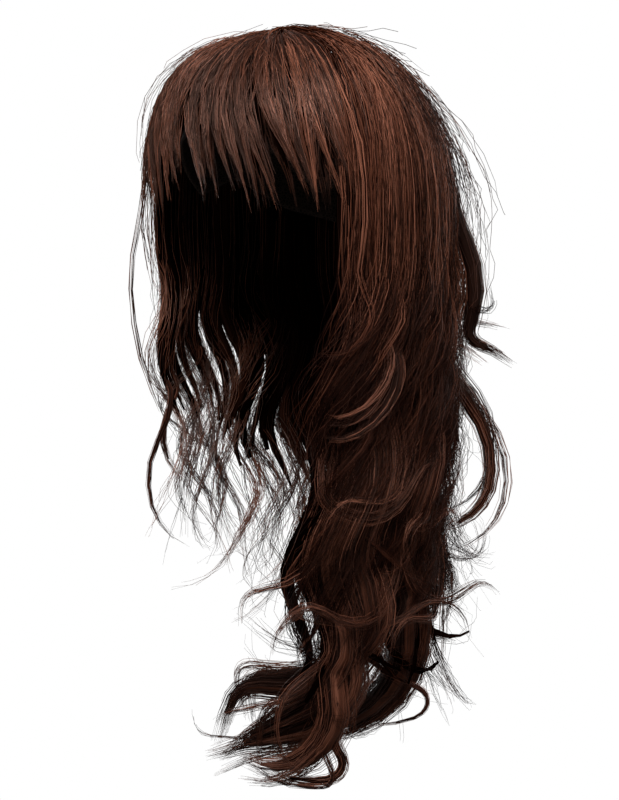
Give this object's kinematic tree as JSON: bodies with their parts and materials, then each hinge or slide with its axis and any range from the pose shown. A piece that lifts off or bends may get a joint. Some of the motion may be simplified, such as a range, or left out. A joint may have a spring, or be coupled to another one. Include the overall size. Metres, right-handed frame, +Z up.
{
  "type": "long wavy wig",
  "caption": "Long wavy wig with a full fringe: a thin open cap with sections of hair that hang to the chest and curl at the ends.",
  "frame": {"origin": "the inside of the cap at the top of the head", "axes": "+Z up, -Y towards the face, +X towards the wearer's left"},
  "size_m": [0.2182, 0.256, 0.5643],
  "materials": {
    "hair": "dark auburn fibre with a soft sheen",
    "cap_net": "matt elastic net"
  },
  "bodies": {
    "root": {"cap": "cap_net", "crown_hair": "hair", "fringe": "hair", "side_hair_left": "hair", "side_hair_right": "hair", "back_hair_left": "hair", "back_hair_right": "hair", "nape_hair": "hair"}
  },
  "joints": []
}
